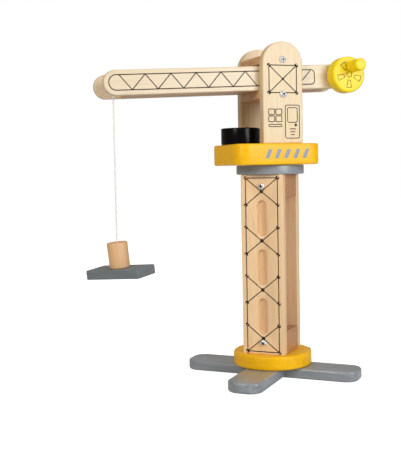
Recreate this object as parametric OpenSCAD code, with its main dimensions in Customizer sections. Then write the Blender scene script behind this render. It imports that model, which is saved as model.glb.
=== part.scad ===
// Toy tower crane in wood: cross base, screwed tower, turning platform, jib with a string
// hoist, a magnet on the string and the steel-faced block it carries. Millimetres, +Z up.
// The origin is on the turning axis, at the underside of the cross base. The jib runs
// along X with its tip towards -X, and the printed fronts of the uprights face -Y.

/* [Stored pose] */
// Turn of the tower under the jib, as stored (degrees)
tower_turn = -42.5; // [-180:0.25:180]

/* [Cross base] */
// Length of each of the two crossing bars
foot_length = 238; // [216:2:260]
// Width of the crossing bars
foot_width = 46; // [40:1:52]
// Thickness of the crossing bars
foot_thickness = 14; // [12:1:18]
// Corner radius of the bar ends, seen from above
foot_corner = 17; // [8:1:22]
// Radius of the round plate on the cross
plate_radius = 52; // [46:1:58]
// Thickness of the round plate
plate_thickness = 18; // [14:1:22]

/* [Tower] */
// Width of the tower
tower_width = 57; // [50:1:62]
// Depth of the tower, over both panels
tower_depth = 71; // [64:1:80]
// Height of the tower panels
tower_height = 235; // [210:5:260]
// Thickness of the tower panels
panel_thickness = 12; // [10:1:14]
// Height of the blocks between the panels
tower_block_height = 30; // [26:1:34]
// Width of the rounded grooves in the front panel
groove_width = 12.5; // [11:0.5:15]
// Depth of the grooves
groove_depth = 4; // [2:0.5:6]
// Height of the panel below the lowest and above the highest bay with a groove
bay_margin = 21.5; // [18:0.5:26]

/* [Turntable] */
// Radius of the disc on top of the tower
turntable_radius = 44.5; // [40:0.5:50]
// Thickness of that disc
turntable_thickness = 12; // [10:1:14]
// Gap between the turning platform and the disc
turning_gap = 0.3; // [0.2:0.05:0.5]
// Radius of the pivot bolt
pivot_radius = 4; // [3:0.5:5]
// Radial running clearance of turning fits
running_clearance = 0.06; // [0.03:0.01:0.1]

/* [Platform] */
// Length of the platform along the jib
platform_length = 117; // [110:1:130]
// How far the platform's middle is set towards the jib tip
platform_offset = 6.5; // [4:0.5:12]
// Width of the platform
platform_width = 102; // [96:1:112]
// Thickness of the platform
platform_thickness = 27; // [22:1:32]
// Corner radius of the platform
platform_corner = 17; // [8:1:22]
// Room between the drum and the uprights
drum_room = 7; // [5:0.5:12]
// Height of the drum
drum_height = 21.5; // [14:0.5:24]

/* [Uprights] */
// Width of the uprights
upright_width = 55; // [50:1:60]
// Thickness of the uprights
upright_thickness = 12; // [10:1:14]
// Height of the uprights above the platform
upright_height = 128.7; // [118:0.1:150]
// Distance from the platform's edges to the outer faces of the uprights
upright_margin = 6.5; // [4:0.5:10]
// Height of the blocks above and below the jib
clamp_block_height = 10; // [10:1:14]

/* [Jib] */
// Reach of the jib tip from the turning axis
jib_reach = 229; // [200:1:250]
// Distance from the turning axis to the winch axle
winch_distance = 91; // [82:1:98]
// Height of the jib boards
jib_height = 31; // [27:1:35]
// Thickness of the jib boards
jib_board = 10; // [8:1:12]
// Slope of the jib towards its tip (degrees)
jib_droop = 2.4; // [0:0.2:3]
// Height of the middle of the jib above the platform, at the turning axis
jib_rise = 84.2; // [70:0.1:95]
// Radius of the dowel at the tip that the string runs over
tip_dowel_radius = 4; // [3:0.5:5]
// Thickness of the floor strip between the boards
floor_thickness = 8; // [6:1:10]
// Length of the open gap at the tip, in front of the floor strip
tip_gap = 31; // [28:1:36]

/* [Winch] */
// Radius of the winch wheel
wheel_radius = 23.2; // [20:0.1:25]
// Thickness of the winch wheel
wheel_thickness = 19.5; // [15:0.5:22]
// Radius of the winch axle, a dowel
axle_radius = 5; // [4:0.5:6]
// Radius of the crank peg
peg_radius = 8; // [6:0.5:9]
// Length of the crank peg in front of the wheel
peg_length = 24; // [20:1:28]
// Distance of the peg from the middle of the wheel
peg_offset = 11.2; // [10.5:0.1:14]
// Angle of the peg from straight up, as stored (degrees)
peg_angle = 24; // [0:1:359]

/* [String and magnet] */
// Radius of the string
string_radius = 0.8; // [0.5:0.1:1]
// Length of the hanging string down to the magnet holder, as stored
string_hang = 199.8; // [40:0.1:300]
// Radius of the wooden magnet holder
holder_radius = 13; // [11:0.5:15]
// Height of the wooden magnet holder
holder_height = 32; // [26:1:34]
// Radius of the magnet
magnet_radius = 9; // [7:0.5:10]
// Thickness of the magnet
magnet_thickness = 5; // [3:0.5:7]
// Length of the block on the magnet
load_length = 80; // [60:1:90]
// Width of the block
load_width = 39; // [30:1:44]
// Thickness of the block
load_thickness = 12; // [9:1:15]
// Corner radius of the block, seen from above
load_corner = 2; // [1:0.5:3]
// Turn of the block on the magnet, as stored (degrees)
load_turn = -49; // [-180:1:180]
// Lean of the magnet holder and its block on the string, as stored (degrees)
hook_lean = 5.7; // [0:0.1:8]

/* [Hidden] */
$fn = 64;

// clearance of fixed round joints, hardly any
glue_gap = 0.02;
// heights up the crane
plate_top = foot_thickness + plate_thickness;
tower_top = plate_top + tower_height;
turntable_top = tower_top + turntable_thickness;
platform_base = turntable_top + turning_gap;
platform_top = platform_base + platform_thickness;
crane_height = platform_top + upright_height;
jib_middle = platform_top + jib_rise;
// screws: head radius, head height, shank radius
screw_head_radius = 4.4;
screw_head_height = 2.6;
screw_radius = 2;
cross_slot = 1.1;
cross_length = 4.6;
cross_depth = 1.4;
tower_screw_length = tower_depth / 2 - 9.5;
upright_screw_length = upright_thickness + 14;
tower_screw_low = plate_top + tower_block_height / 2;
tower_screw_high = tower_top - tower_block_height / 2;
groove_middle = plate_top + tower_height / 2 - 3;
groove_pitch = (tower_height - 2 * bay_margin) / 3;
groove_height = groove_pitch - 18;
// base screws, through the cross and the plate
base_screw_spacing = 26;
base_screw_length = plate_top + 8;
base_screw_radius = 2;
base_screw_head = 4.2;
// pivot
pivot_head_radius = pivot_radius + 3;
pivot_head_height = 4;
pivot_depth = 22;
washer_radius = pivot_radius + 7;
washer_thickness = 1.5;
// uprights
upright_span = platform_width - 2 * upright_margin;
upright_tenon_width = upright_width - 20;
upright_tenon_depth = 12;
inner_gap = upright_span - 2 * upright_thickness;
// the drum stands between the uprights, at the jib end of the platform, clear of the washer
drum_radius = inner_gap / 2 - drum_room;
drum_x = -(washer_radius + 3.5 + drum_radius);
drum_y = 3;
clamp_gap = jib_height + upright_width * sin(jib_droop) + 0.3;
clamp_low_top = jib_middle - clamp_gap / 2;
clamp_high_base = jib_middle + clamp_gap / 2;
// jib, measured along itself from the turning axis
jib_side_play = 0.5;
jib_outer = inner_gap - 2 * jib_side_play;
channel = jib_outer - 2 * jib_board;
end_radius = jib_height / 2;
tip_centre = jib_reach - end_radius;
dowel_x = -(jib_reach - 24);
dowel_z = 5.2;
dowel_reach = 7;
floor_tip = -(jib_reach - tip_gap);
floor_tail = winch_distance - 16;
floor_level = -jib_height / 2;
floor_corner = 8;
// winch, measured in the jib
collar_radius = 2 * axle_radius;
collar_thickness = 6;
side_gap = 0.4;
axle_front = -(jib_outer / 2 + side_gap + wheel_thickness - 3);
axle_back = jib_outer / 2 + side_gap + collar_thickness - 2;
wheel_back = -(jib_outer / 2 + side_gap);
peg_stub = 8;
peg_stub_radius = peg_radius / 2;
turns = 8;
turn_pitch = 2 * string_radius + 0.15;
winding_radius = axle_radius + string_radius;
// string inside the jib: over the winch axle's winding, over the dowel, down the tip side
string_gap = 0.3;
over_axle = winding_radius + 2 * string_radius + string_gap;
over_dowel = tip_dowel_radius + string_gap + string_radius;
fall_x_jib = dowel_x - over_dowel;
// the hanging string, upright in the world
fall_x = fall_x_jib * cos(jib_droop) - dowel_z * sin(jib_droop);
fall_top = jib_middle + fall_x_jib * sin(jib_droop) + dowel_z * cos(jib_droop) - string_radius;
holder_top = fall_top - string_gap - string_hang;
string_foot = 0.1;
knot_radius = 3 * string_radius;
knot_room = 5;
plate_disc_radius = 6;
plate_disc_thickness = 2;

wood = [0.87, 0.72, 0.5];
red_wood = [0.68, 0.45, 0.3];
grey = [0.6, 0.61, 0.63];
yellow = [0.93, 0.74, 0.16];
steel = [0.8, 0.8, 0.82];
black = [0.12, 0.11, 0.11];
white = [0.95, 0.95, 0.93];

// rectangle with true round corners
module rounded_rectangle(length, width, radius) {
    square([length - 2 * radius, width], center = true);
    square([length, width - 2 * radius], center = true);
    for (sx = [-1, 1], sy = [-1, 1])
        translate([sx * (length / 2 - radius), sy * (width / 2 - radius)]) circle(r = radius);
}

module in_tower() rotate([0, 0, tower_turn]) children();

module in_jib() translate([0, 0, jib_middle]) rotate([0, -jib_droop, 0]) children();

// a screw along -Y into the wood: the head stands on the face at y = 0
module face_screw(length) {
    rotate([-90, 0, 0]) cylinder(h = length, r = screw_radius);
    difference() {
        translate([0, -screw_head_height, 0]) rotate([-90, 0, 0])
            cylinder(h = screw_head_height, r1 = screw_head_radius - 0.9, r2 = screw_head_radius);
        for (a = [45, -45]) rotate([0, a, 0])
            translate([-cross_length / 2, -screw_head_height - 1, -cross_slot / 2])
                cube([cross_length, cross_depth + 1, cross_slot]);
    }
}

module face_screw_hole(length) rotate([-90, 0, 0])
    translate([0, 0, -1]) cylinder(h = length + 1.5, r = screw_radius + glue_gap);

module foot_bar(notch_low) difference() {
    linear_extrude(foot_thickness) rounded_rectangle(foot_length, foot_width, foot_corner);
    translate([-foot_width / 2, -foot_width, notch_low ? -1 : foot_thickness / 2])
        cube([foot_width, 2 * foot_width, foot_thickness / 2 + 1]);
    base_screw_holes();
}

module base_screw_holes() for (s = [-1, 1]) translate([s * base_screw_spacing / 2, 0, 0]) {
    translate([0, 0, -1]) cylinder(h = base_screw_length + 1.5, r = base_screw_radius + glue_gap);
    translate([0, 0, -1]) cylinder(h = 4.5, r = base_screw_head + 0.1);
}

module foot_bar_long() color(grey) in_tower() foot_bar(false);

module foot_bar_cross() color(grey) in_tower() difference() {
    rotate([0, 0, 90]) linear_extrude(foot_thickness)
        rounded_rectangle(foot_length, foot_width, foot_corner);
    translate([-foot_width, -foot_width / 2, -1])
        cube([2 * foot_width, foot_width, foot_thickness / 2 + 1]);
    base_screw_holes();
}

module base_plate() color(yellow) in_tower() difference() {
    translate([0, 0, foot_thickness]) cylinder(h = plate_thickness, r = plate_radius);
    base_screw_holes();
}

module base_screws() color(steel) in_tower()
    for (s = [-1, 1]) translate([s * base_screw_spacing / 2, 0, 0.5]) {
        cylinder(h = base_screw_length - 0.5, r = base_screw_radius);
        difference() {
            cylinder(h = 3, r = base_screw_head);
            for (a = [45, -45]) rotate([0, 0, a])
                translate([-cross_length / 2, -cross_slot / 2, -1])
                    cube([cross_length, cross_slot, cross_depth + 1]);
        }
    }

module tower_panel() translate([-tower_width / 2, 0, plate_top])
    cube([tower_width, panel_thickness, tower_height]);

module tower_screw_places() for (z = [tower_screw_low, tower_screw_high]) {
    translate([0, -tower_depth / 2, z]) children();
    translate([0, tower_depth / 2, z]) rotate([0, 0, 180]) children();
}

module groove() translate([0, -tower_depth / 2 - 1, 0]) rotate([-90, 0, 0])
    linear_extrude(groove_depth + 1) {
        square([groove_width, groove_height - groove_width], center = true);
        for (s = [-1, 1]) translate([0, s * (groove_height - groove_width) / 2])
            circle(d = groove_width);
    }

module tower_front_panel() color(wood) in_tower() difference() {
    translate([0, -tower_depth / 2, 0]) tower_panel();
    for (k = [-1, 0, 1]) translate([0, 0, groove_middle + k * groove_pitch]) groove();
    tower_screw_places() face_screw_hole(tower_screw_length);
}

module tower_rear_panel() color(wood) in_tower() difference() {
    translate([0, tower_depth / 2 - panel_thickness, 0]) tower_panel();
    tower_screw_places() face_screw_hole(tower_screw_length);
}

module tower_block(base) translate([-tower_width / 2, -tower_depth / 2 + panel_thickness, base])
    cube([tower_width, tower_depth - 2 * panel_thickness, tower_block_height]);

module tower_top_block() color(red_wood) in_tower() difference() {
    tower_block(tower_top - tower_block_height);
    tower_screw_places() face_screw_hole(tower_screw_length);
    translate([0, 0, tower_top - pivot_depth]) cylinder(h = pivot_depth + 1, r = pivot_radius + glue_gap);
}

module tower_bottom_block() color(red_wood) in_tower() difference() {
    tower_block(plate_top);
    tower_screw_places() face_screw_hole(tower_screw_length);
    base_screw_holes();
}

module tower_screws() color(steel) in_tower() tower_screw_places() face_screw(tower_screw_length);

module turntable_disc() color(grey) in_tower() difference() {
    translate([0, 0, tower_top]) cylinder(h = turntable_thickness, r = turntable_radius);
    translate([0, 0, tower_top - 1])
        cylinder(h = turntable_thickness + 2, r = pivot_radius + glue_gap);
}

// the bolt is fixed in the tower and the platform turns on it
module pivot_bolt() color(steel) in_tower() {
    translate([0, 0, tower_top - pivot_depth + 0.5])
        cylinder(h = platform_top + washer_thickness + 2 * turning_gap - tower_top + pivot_depth - 0.5,
            r = pivot_radius);
    translate([0, 0, platform_top + washer_thickness + 2 * turning_gap]) difference() {
        cylinder(h = pivot_head_height, r = pivot_head_radius);
        translate([0, 0, pivot_head_height - 2]) cylinder(h = 3, r = 3.4, $fn = 6);
    }
}

module pivot_washer() color(steel) in_tower()
    translate([0, 0, platform_top + turning_gap]) difference() {
        cylinder(h = washer_thickness + turning_gap, r = washer_radius);
        translate([0, 0, -1]) cylinder(h = washer_thickness + 3, r = pivot_radius + glue_gap);
    }

module tenon_holes() for (s = [-1, 1])
    translate([-upright_tenon_width / 2, s * (upright_span - upright_thickness) / 2
        - upright_thickness / 2, platform_top - upright_tenon_depth])
        cube([upright_tenon_width, upright_thickness, upright_tenon_depth + 1]);

module platform() color(yellow) difference() {
    translate([-platform_offset, 0, platform_base])
        linear_extrude(platform_thickness)
            rounded_rectangle(platform_length, platform_width, platform_corner);
    translate([0, 0, platform_base - 1])
        cylinder(h = platform_thickness + 2, r = pivot_radius + running_clearance);
    tenon_holes();
}

module platform_drum() color(black) translate([drum_x, drum_y, platform_top])
    cylinder(h = drum_height, r = drum_radius);

// upright with a round top and a tenon at its foot; y0 is its front face
module upright(y0) difference() {
    translate([0, y0 + upright_thickness, 0]) rotate([90, 0, 0]) linear_extrude(upright_thickness) {
        translate([-upright_width / 2, platform_top])
            square([upright_width, crane_height - platform_top - upright_width / 2]);
        translate([0, crane_height - upright_width / 2]) circle(d = upright_width);
        translate([-upright_tenon_width / 2, platform_top - upright_tenon_depth])
            square([upright_tenon_width, upright_tenon_depth + 1]);
    }
    upright_screw_places() face_screw_hole(upright_screw_length);
}

module upright_screw_places()
    for (z = [clamp_low_top - clamp_block_height / 2, clamp_high_base + clamp_block_height / 2]) {
        translate([0, -upright_span / 2, z]) children();
        translate([0, upright_span / 2, z]) rotate([0, 0, 180]) children();
    }

module upright_front() color(wood) upright(-upright_span / 2);

module upright_rear() color(wood) upright(upright_span / 2 - upright_thickness);

module clamp_block(base) difference() {
    translate([-upright_width / 2, -inner_gap / 2, base])
        cube([upright_width, inner_gap, clamp_block_height]);
    upright_screw_places() face_screw_hole(upright_screw_length);
}

module block_above_jib() color(red_wood) clamp_block(clamp_high_base);

module block_below_jib() color(red_wood) clamp_block(clamp_low_top - clamp_block_height);

module upright_screws() color(steel) upright_screw_places() face_screw(upright_screw_length);

// one side board of the jib; y0 is its lower Y face
module jib_board_solid(y0) difference() {
    translate([0, y0 + jib_board, 0]) rotate([90, 0, 0]) linear_extrude(jib_board) {
        translate([-tip_centre, -jib_height / 2])
            square([tip_centre + winch_distance, jib_height]);
        translate([-tip_centre, 0]) circle(d = jib_height);
        translate([winch_distance, 0]) circle(d = jib_height);
    }
    translate([winch_distance, y0 - 1, 0]) rotate([-90, 0, 0])
        cylinder(h = jib_board + 2, r = axle_radius + running_clearance);
    translate([dowel_x, 0, dowel_z]) rotate([-90, 0, 0])
        translate([0, 0, -(channel / 2 + dowel_reach)])
            cylinder(h = channel + 2 * dowel_reach, r = tip_dowel_radius + glue_gap);
}

module jib_front_board() color(wood) in_jib() jib_board_solid(-jib_outer / 2);

module jib_rear_board() color(wood) in_jib() jib_board_solid(jib_outer / 2 - jib_board);

// strip between the boards that closes the underside, round at its tip end
module jib_floor() color(wood) in_jib() translate([0, 0, floor_level])
    linear_extrude(floor_thickness) {
        translate([floor_tip + floor_corner, -channel / 2])
            square([floor_tail - floor_tip - floor_corner, channel]);
        translate([floor_tip, -channel / 2 + floor_corner])
            square([2 * floor_corner, channel - 2 * floor_corner]);
        for (s = [-1, 1])
            translate([floor_tip + floor_corner, s * (channel / 2 - floor_corner)])
                circle(r = floor_corner);
    }

module tip_dowel() color(wood) in_jib() translate([dowel_x, 0, dowel_z]) rotate([-90, 0, 0])
    translate([0, 0, -(channel / 2 + dowel_reach - 0.5)])
        cylinder(h = channel + 2 * dowel_reach - 1, r = tip_dowel_radius);

module winch_axle() color(wood) in_jib() translate([winch_distance, axle_front, 0])
    rotate([-90, 0, 0]) cylinder(h = axle_back - axle_front, r = axle_radius);

module peg_place() rotate([0, peg_angle, 0]) translate([0, 0, peg_offset]) children();

module winch_wheel() color(yellow) in_jib() translate([winch_distance, wheel_back, 0])
    difference() {
        rotate([90, 0, 0]) cylinder(h = wheel_thickness, r = wheel_radius);
        translate([0, 1, 0]) rotate([90, 0, 0])
            cylinder(h = wheel_thickness - 2, r = axle_radius + glue_gap);
        translate([0, -wheel_thickness - 1, 0]) peg_place() rotate([-90, 0, 0])
            cylinder(h = peg_stub + 1.5, r = peg_stub_radius + glue_gap);
    }

module winch_peg() color(yellow) in_jib()
    translate([winch_distance, wheel_back - wheel_thickness, 0]) peg_place() {
        rotate([90, 0, 0]) cylinder(h = peg_length, r = peg_radius);
        rotate([-90, 0, 0]) cylinder(h = peg_stub, r = peg_stub_radius);
    }

module winch_collar() color(wood) in_jib()
    translate([winch_distance, jib_outer / 2 + side_gap, 0]) rotate([-90, 0, 0]) difference() {
        cylinder(h = collar_thickness, r = collar_radius);
        translate([0, 0, -1]) cylinder(h = collar_thickness - 1, r = axle_radius + glue_gap);
    }

// turns of string wound on the axle
module string_winding() color(white) in_jib() translate([winch_distance, 0, 0])
    rotate([-90, 0, 0]) for (k = [0 : turns - 1])
        translate([0, 0, (k - turns / 2 + 0.5) * turn_pitch])
            rotate_extrude() translate([winding_radius, 0]) circle(r = string_radius);

// swept tube along points in the plane of the jib
tube_sides = 8;
wrap_steps = 4;
run_route = [
    [winch_distance, over_axle],
    [winch_distance - 90, over_axle + 0.3],
    [dowel_x + 105, dowel_z + over_dowel - 0.2],
    for (k = [0 : wrap_steps]) [dowel_x - over_dowel * sin(90 * k / wrap_steps),
        dowel_z + over_dowel * cos(90 * k / wrap_steps)]];
function route_way(p, i) = let (a = p[max(i - 1, 0)], b = p[min(i + 1, len(p) - 1)],
    d = b - a) d / norm(d);
function route_ring(p, i) = let (t = route_way(p, i), n = [-t[1], t[0]])
    [for (k = [0 : tube_sides - 1]) let (a = 360 * k / tube_sides)
        [p[i][0] + n[0] * string_radius * cos(a), string_radius * sin(a),
         p[i][1] + n[1] * string_radius * cos(a)]];
function tube_points(p) = [for (i = [0 : len(p) - 1]) each route_ring(p, i)];
function tube_faces(count) = [
    [for (k = [0 : tube_sides - 1]) k],
    for (i = [0 : count - 2], k = [0 : tube_sides - 1]) let (m = (k + 1) % tube_sides)
        [i * tube_sides + k, (i + 1) * tube_sides + k, (i + 1) * tube_sides + m, i * tube_sides + m],
    [for (k = [0 : tube_sides - 1]) (count - 1) * tube_sides + tube_sides - 1 - k]];

module string_run() color(white) in_jib()
    polyhedron(tube_points(run_route), tube_faces(len(run_route)));

// the magnet holder and its block lean together about the end of the string
module on_string() translate([fall_x, 0, holder_top]) rotate([0, -hook_lean, 0])
    translate([0, 0, -holder_height]) children();

module string_fall() color(white) translate([fall_x, 0, holder_top + string_foot])
    cylinder(h = string_hang - string_foot, r = string_radius);

module magnet_holder() color(wood) on_string() difference() {
    cylinder(h = holder_height, r = holder_radius);
    translate([0, 0, -1]) cylinder(h = magnet_thickness + 1, r = magnet_radius + glue_gap);
    translate([0, 0, magnet_thickness - 1])
        cylinder(h = holder_height, r = string_radius + glue_gap);
    translate([0, 0, magnet_thickness - 1]) cylinder(h = knot_room + 1, r = knot_radius + glue_gap);
}

// the end of the string, drawn into the holder from above and knotted over the magnet
module string_knot() color(white) on_string()
    translate([0, 0, magnet_thickness + knot_room / 2]) {
        sphere(r = knot_radius);
        cylinder(h = holder_height - magnet_thickness - knot_room / 2, r = string_radius);
    }

module magnet() color(steel) on_string() cylinder(h = magnet_thickness, r = magnet_radius);

module load_block() color(grey) on_string() translate([0, 0, -load_thickness])
    rotate([0, 0, load_turn]) difference() {
        linear_extrude(load_thickness)
            rounded_rectangle(load_length, load_width, load_corner);
        translate([0, 0, load_thickness - plate_disc_thickness])
            cylinder(h = plate_disc_thickness + 1, r = plate_disc_radius + glue_gap);
    }

module load_plate() color(steel) on_string() translate([0, 0, -plate_disc_thickness])
        cylinder(h = plate_disc_thickness - 0.2, r = plate_disc_radius);

foot_bar_long();
foot_bar_cross();
base_plate();
base_screws();
tower_front_panel();
tower_rear_panel();
tower_top_block();
tower_bottom_block();
tower_screws();
turntable_disc();
pivot_bolt();
pivot_washer();
platform();
platform_drum();
upright_front();
upright_rear();
block_above_jib();
block_below_jib();
upright_screws();
jib_front_board();
jib_rear_board();
jib_floor();
tip_dowel();
string_run();
winch_axle();
winch_wheel();
winch_peg();
winch_collar();
string_winding();
string_fall();
string_knot();
magnet_holder();
magnet();
load_block();
load_plate();
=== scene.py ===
# %% [markdown]
# # A wooden toy tower crane
# This lesson dresses a finished model of a toy crane. The model gives every piece its place and
# size, and the cells below give each one rounded edges, printed lines and a material. We work in
# metres, with +Z up and the origin on the turning axis, under the cross base.

# %% Load the model
import math

import bmesh
import bpy
from mathutils import Matrix, Vector


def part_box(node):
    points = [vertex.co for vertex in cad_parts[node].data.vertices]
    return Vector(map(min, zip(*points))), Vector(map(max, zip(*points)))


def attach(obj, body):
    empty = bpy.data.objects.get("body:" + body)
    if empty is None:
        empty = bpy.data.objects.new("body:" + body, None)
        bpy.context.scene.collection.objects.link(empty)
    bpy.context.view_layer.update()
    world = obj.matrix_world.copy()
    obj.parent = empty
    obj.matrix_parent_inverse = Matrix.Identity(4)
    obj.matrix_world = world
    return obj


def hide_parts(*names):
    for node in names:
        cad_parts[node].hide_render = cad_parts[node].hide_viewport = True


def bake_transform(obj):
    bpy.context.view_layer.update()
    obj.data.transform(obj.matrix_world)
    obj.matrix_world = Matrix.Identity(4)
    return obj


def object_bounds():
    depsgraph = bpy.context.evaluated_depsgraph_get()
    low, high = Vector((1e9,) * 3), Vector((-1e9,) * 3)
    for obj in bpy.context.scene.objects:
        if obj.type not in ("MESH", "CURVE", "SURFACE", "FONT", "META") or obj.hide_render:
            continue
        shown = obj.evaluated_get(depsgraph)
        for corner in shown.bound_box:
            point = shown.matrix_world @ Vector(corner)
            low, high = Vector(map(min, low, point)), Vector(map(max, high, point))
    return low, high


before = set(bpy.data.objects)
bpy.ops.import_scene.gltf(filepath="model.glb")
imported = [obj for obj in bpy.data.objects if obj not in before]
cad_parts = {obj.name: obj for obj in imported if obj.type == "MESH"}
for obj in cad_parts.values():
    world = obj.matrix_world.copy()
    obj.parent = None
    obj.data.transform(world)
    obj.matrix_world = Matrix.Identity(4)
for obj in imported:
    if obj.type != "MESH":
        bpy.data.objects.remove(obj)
cad_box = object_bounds()
print("size of the model:", [round(v, 3) for v in cad_box[1] - cad_box[0]])

# %% [markdown]
# ## Places to build in
# Three groups of pieces each have their own directions: the tower is turned under the jib, the
# platform and uprights stand square, and the jib slopes a little towards its tip. A matrix for
# each group lets us build every piece lying straight and then set it in place. The alternative,
# turning each piece by hand afterwards, is easy to get wrong.

# %% Places
MM = 0.001
TOWER_TURN = math.radians(-42.5)
JIB_DROOP = math.radians(2.4)
JIB_MIDDLE = 390.5 * MM

in_tower = Matrix.Rotation(TOWER_TURN, 4, "Z")
in_jib = Matrix.Translation((0, 0, JIB_MIDDLE)) @ Matrix.Rotation(-JIB_DROOP, 4, "Y")
# local x stays along X, local y points up and local z comes out towards -Y
facing_front = Matrix.Rotation(math.radians(90), 4, "X")


def middle(node):
    low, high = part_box(node)
    return (low + high) / 2


def top(node):
    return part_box(node)[1].z


def foot(node):
    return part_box(node)[0].z


print("tower panels stand from", round(foot("tower_front_panel"), 4),
      "to", round(top("tower_front_panel"), 4))

# %% [markdown]
# ## Camera
# The camera stands about 1.1 m away, a little to the left of the crane's front and level with
# the platform, and looks slightly down. A long lens keeps the uprights nearly parallel.

# %% Camera
LENS_LENGTH = 68.48
camera_data = bpy.data.cameras.new("camera")
camera_data.sensor_width = 36
camera_data.lens = LENS_LENGTH
camera = bpy.data.objects.new("camera", camera_data)
bpy.context.scene.collection.objects.link(camera)
CAMERA_PLACE = (-0.455, -1.0478, 0.276)
CAMERA_TURN, CAMERA_DIP, CAMERA_TILT = -18.77, 3.76, -1.1
camera.location = CAMERA_PLACE
camera.rotation_euler = (Matrix.Rotation(math.radians(CAMERA_TURN), 3, "Z")
                         @ Matrix.Rotation(math.radians(90 - CAMERA_DIP), 3, "X")
                         @ Matrix.Rotation(math.radians(CAMERA_TILT), 3, "Z")).to_euler()
bpy.context.scene.camera = camera
print("lens:", round(camera_data.lens, 1), "mm")

# %% [markdown]
# ## Wood and paint
# Wood is two noises stretched along the board: a wide one for the bands between growth rings
# and a fine one for the pores. A picture of wood would repeat, but noise doesn't. The same
# board also gets a faint bump from the pores, so that highlights break up along the grain.


# %% Helpers for materials
def linear(red, green, blue):
    def one(v):
        v = v / 255
        return v / 12.92 if v <= 0.04045 else ((v + 0.055) / 1.055) ** 2.4
    return (one(red), one(green), one(blue), 1)


def new_material(name):
    material = bpy.data.materials.new(name)
    material.use_nodes = True
    nodes, links = material.node_tree.nodes, material.node_tree.links
    shader = nodes["Principled BSDF"]
    return material, nodes, links, shader


def stretched_noise(nodes, links, along, across, grain, detail=3, seed=0, turn=0):
    """Noise in the piece's own space, drawn out along one axis: sizes in streaks per metre."""
    place = nodes.new("ShaderNodeTexCoord")
    turning = nodes.new("ShaderNodeMapping")
    turning.inputs["Rotation"].default_value = (0, 0, -turn)
    links.new(place.outputs["Object"], turning.inputs["Vector"])
    mapping = nodes.new("ShaderNodeMapping")
    mapping.inputs["Scale"].default_value = [along if a == grain else across for a in "XYZ"]
    mapping.inputs["Location"].default_value = (seed, seed * 1.7, seed * 0.6)
    noise = nodes.new("ShaderNodeTexNoise")
    noise.inputs["Scale"].default_value = 1
    noise.inputs["Detail"].default_value = detail
    links.new(turning.outputs["Vector"], mapping.inputs["Vector"])
    links.new(mapping.outputs["Vector"], noise.inputs["Vector"])
    return noise.outputs["Fac"]


def ramp(nodes, links, value, stops):
    node = nodes.new("ShaderNodeValToRGB")
    while len(node.color_ramp.elements) < len(stops):
        node.color_ramp.elements.new(0.5)
    for element, (position, colour) in zip(node.color_ramp.elements, stops):
        element.position = position
        element.color = colour
    links.new(value, node.inputs["Fac"])
    return node.outputs["Color"]


def add_bump(nodes, links, shader, height, strength, distance):
    bump = nodes.new("ShaderNodeBump")
    bump.inputs["Strength"].default_value = strength
    bump.inputs["Distance"].default_value = distance
    links.new(height, bump.inputs["Height"])
    links.new(bump.outputs["Normal"], shader.inputs["Normal"])


print("material helpers are ready")


# %% [markdown]
# The crane is plain wood under a thin clear lacquer, which gives a soft highlight. Each wood is two
# close shades, mixed by the bands, with the pores multiplied over them. The uprights and the jib
# are the palest wood, the tower is warmer, and the blocks are reddish.

# %% Wood
def wood(name, light, dark, grain, seed=0, coat=0.25):
    material, nodes, links, shader = new_material(name)
    bands = stretched_noise(nodes, links, 9, 130, grain, 4, seed)
    pores = stretched_noise(nodes, links, 60, 1500, grain, 2, seed + 5)
    broad = ramp(nodes, links, bands, [(0.32, dark), (0.5, light), (0.72, dark)])
    fine = ramp(nodes, links, pores, [(0.3, (0.86, 0.83, 0.8, 1)), (0.55, (1, 1, 1, 1))])
    mix = nodes.new("ShaderNodeMix")
    mix.data_type = "RGBA"
    mix.blend_type = "MULTIPLY"
    mix.inputs["Factor"].default_value = 0.55
    links.new(broad, mix.inputs["A"])
    links.new(fine, mix.inputs["B"])
    links.new(mix.outputs["Result"], shader.inputs["Base Color"])
    shader.inputs["Roughness"].default_value = 0.48
    shader.inputs["Coat Weight"].default_value = coat
    shader.inputs["Coat Roughness"].default_value = 0.35
    add_bump(nodes, links, shader, pores, 0.12, 0.0002)
    return material


JIB_LIGHT, JIB_DARK = linear(225, 206, 178), linear(219, 198, 162)
PALE_LIGHT, PALE_DARK = linear(222, 198, 157), linear(216, 188, 144)
WARM_LIGHT, WARM_DARK = linear(243, 208, 165), linear(237, 198, 151)
# the groove wood is a darker copy of the tower's wood: painted shade inside the grooves
GROOVE_LIGHT, GROOVE_DARK = linear(238, 197, 152), linear(229, 185, 138)
HOLDER_LIGHT, HOLDER_DARK = linear(226, 182, 136), linear(216, 168, 120)
RED_LIGHT, RED_DARK = linear(196, 144, 100), linear(176, 117, 74)
TAN_LIGHT, TAN_DARK = linear(214, 170, 124), linear(192, 142, 94)
jib_along_x = wood("jib wood along x", JIB_LIGHT, JIB_DARK, "X", 1, coat=0.6)
pale_along_y = wood("pale wood along y", PALE_LIGHT, PALE_DARK, "Y", 2, coat=0.6)
warm_along_y = wood("warm wood along y", WARM_LIGHT, WARM_DARK, "Y", 3)
groove_painted_shade_wood = wood("painted shade wood in the grooves", GROOVE_LIGHT, GROOVE_DARK, "Y", 3, coat=0)
red_along_x = wood("red wood along x", RED_LIGHT, RED_DARK, "X", 4)
tan_along_x = wood("tan wood along x", TAN_LIGHT, TAN_DARK, "X", 5)
dowel_along_y = wood("dowel wood along y", TAN_LIGHT, TAN_DARK, "Y", 8)
holder_along_z = wood("holder wood along z", HOLDER_LIGHT, HOLDER_DARK, "Z", 6)
print("woods:", [m.name for m in bpy.data.materials])

# %% [markdown]
# Painted wood keeps a trace of the grain under the paint. The paint itself is smooth, with a
# soft gloss, and its colour wanders by a few per cent in streaks along the wood. On the cross
# base the streaks are turned with the bars, so that each bar keeps its own grain.


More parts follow.
